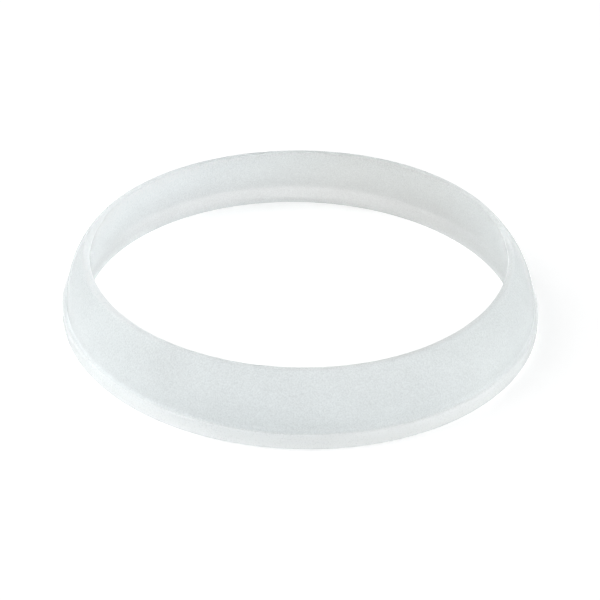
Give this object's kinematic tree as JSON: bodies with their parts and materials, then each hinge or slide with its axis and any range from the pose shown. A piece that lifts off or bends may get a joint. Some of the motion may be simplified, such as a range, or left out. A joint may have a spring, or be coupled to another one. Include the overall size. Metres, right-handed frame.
{
  "type": "slip joint washer",
  "caption": "Tapered sealing ring of frosted plastic with a thin lip, a crowned flank and a flat base, for a tubular drain slip joint.",
  "frame": {"origin": "centre of the flat base, on the ring's axis", "axes": "+Z along the ring's axis, from the wide flat base to the thin lip"},
  "size_m": [0.0444, 0.0444, 0.0067],
  "materials": {
    "frosted_polyethylene": "milky translucent plastic with a satin moulded surface"
  },
  "bodies": {
    "root": {"slip_joint_washer": "frosted_polyethylene"}
  },
  "joints": []
}
